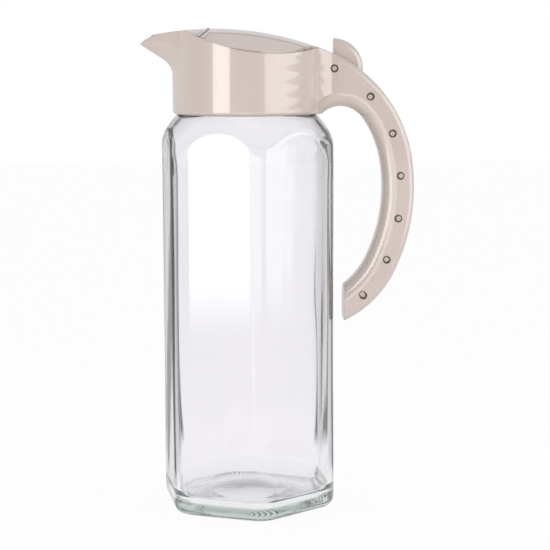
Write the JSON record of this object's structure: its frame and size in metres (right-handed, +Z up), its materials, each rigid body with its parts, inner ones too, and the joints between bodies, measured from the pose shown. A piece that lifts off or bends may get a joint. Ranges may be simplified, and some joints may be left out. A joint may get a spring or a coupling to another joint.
{
  "type": "glass pitcher with lid",
  "caption": "Tall six-sided clear glass pitcher with a screw-on plastic pouring head, beak spout, hinged lid with thumb tab and an open-ended curved handle.",
  "frame": {"origin": "centre of the base ring, on the table under the jug's axis", "axes": "+Z up along the jug's axis, the spout points along -X and the handle along +X, and the seam between the handle's halves lies in the XZ plane"},
  "size_m": [0.1635, 0.1086, 0.2888],
  "materials": {
    "glass": "clear",
    "beige_plastic": "satin",
    "silicone": "matte",
    "pin_steel": "brushed"
  },
  "bodies": {
    "jug": {"glass_jug": "glass"},
    "seal_ring": {"neck_seal": "silicone"},
    "pouring_head": {"head": "beige_plastic", "handle_cover": "beige_plastic", "handle_pegs": "beige_plastic", "lever_pin": "beige_plastic"},
    "top_lid": {"lid": "beige_plastic", "flap_pin": "pin_steel"},
    "flap": {"spout_flap": "beige_plastic"}
  },
  "joints": [
    {"name": "head_rise", "type": "slide", "parent": "jug", "child": "seal_ring", "axis": [0, 0, 1], "range_m": [0, 0.0091]},
    {"name": "head_unscrew", "type": "hinge", "parent": "seal_ring", "child": "pouring_head", "pos_m": [0, 0, 0.252], "axis": [0, 0, 1], "range_deg": [0, 540]},
    {"name": "lid_lift", "type": "hinge", "parent": "pouring_head", "child": "top_lid", "pos_m": [0.0519, 0, 0.2649], "axis": [0, 1, 0], "range_deg": [0, 38]},
    {"name": "flap_lift", "type": "hinge", "parent": "top_lid", "child": "flap", "pos_m": [-0.02275, 0, 0.28755], "axis": [0, 1, 0], "range_deg": [0, 55]}
  ],
  "couplings": [
    {"joint": "head_rise", "follows": "head_unscrew", "m_per_rad": 0.00095493}
  ]
}
